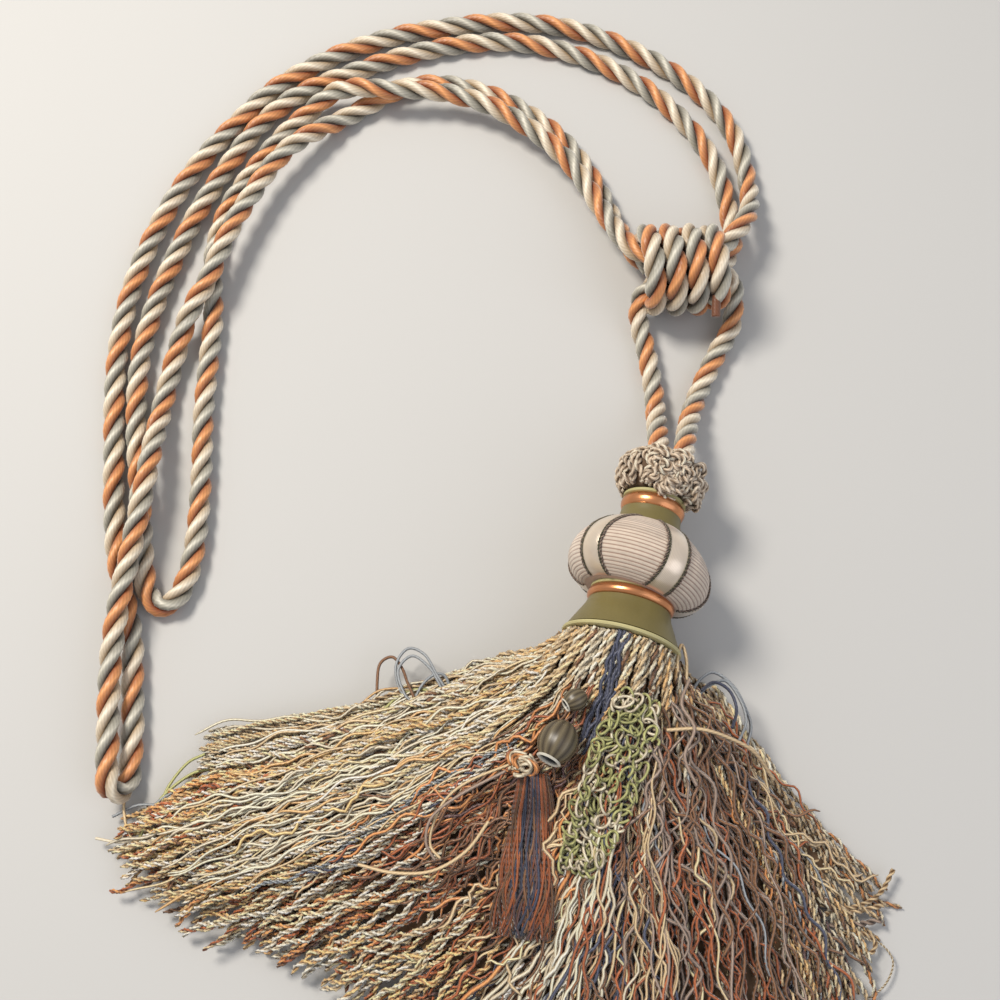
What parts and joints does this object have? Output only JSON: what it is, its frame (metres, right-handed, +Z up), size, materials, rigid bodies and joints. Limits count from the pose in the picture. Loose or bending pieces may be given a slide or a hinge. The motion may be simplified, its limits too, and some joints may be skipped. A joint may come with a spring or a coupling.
{
  "type": "curtain tieback tassel",
  "caption": "Curtain tieback: a twisted three-colour rope doubled into hanging loops, bound by a barrel knot, carrying a turned tassel head with a full bullion skirt.",
  "frame": {"origin": "under the middle of the tassel (ruff, head and skirt together), on the surface it lies on", "axes": "+Z up from the surface, +Y towards the rope loops, +X to the right as seen from above with the skirt nearest"},
  "size_m": [0.3218, 0.5191, 0.0574],
  "materials": {
    "rope_yarn": "satin",
    "ruff_yarn": "matte",
    "olive_lacquer": "satin",
    "copper_band": "gloss",
    "pale_bead": "satin",
    "ribbed_cord": "matte",
    "satin_ribbon": "satin",
    "skirt_yarn": "matte",
    "gimp_yarn": "matte",
    "dark_yarn": "satin",
    "bead_lacquer": "gloss"
  },
  "bodies": {
    "root": {"rope_long_loop": "rope_yarn", "rope_short_loop": "rope_yarn", "rope_left_leg": "rope_yarn", "rope_right_leg": "rope_yarn", "knot_wrap": "rope_yarn", "ruff": "ruff_yarn", "upper_collar": "olive_lacquer", "upper_ring": "copper_band", "bulb": "ribbed_cord", "bulb_ribbon_1": "satin_ribbon", "bulb_ribbon_2": "satin_ribbon", "bulb_ribbon_3": "satin_ribbon", "bulb_ribbon_4": "satin_ribbon", "bulb_ribbon_5": "satin_ribbon", "lower_collar": "olive_lacquer", "lower_ring": "copper_band", "rim_bead": "pale_bead", "skirt": "skirt_yarn", "gimp_lock": "gimp_yarn", "mini_tassel_skirt": "dark_yarn", "mini_tassel_head": "bead_lacquer", "mini_tassel_bead": "bead_lacquer"}
  },
  "joints": []
}
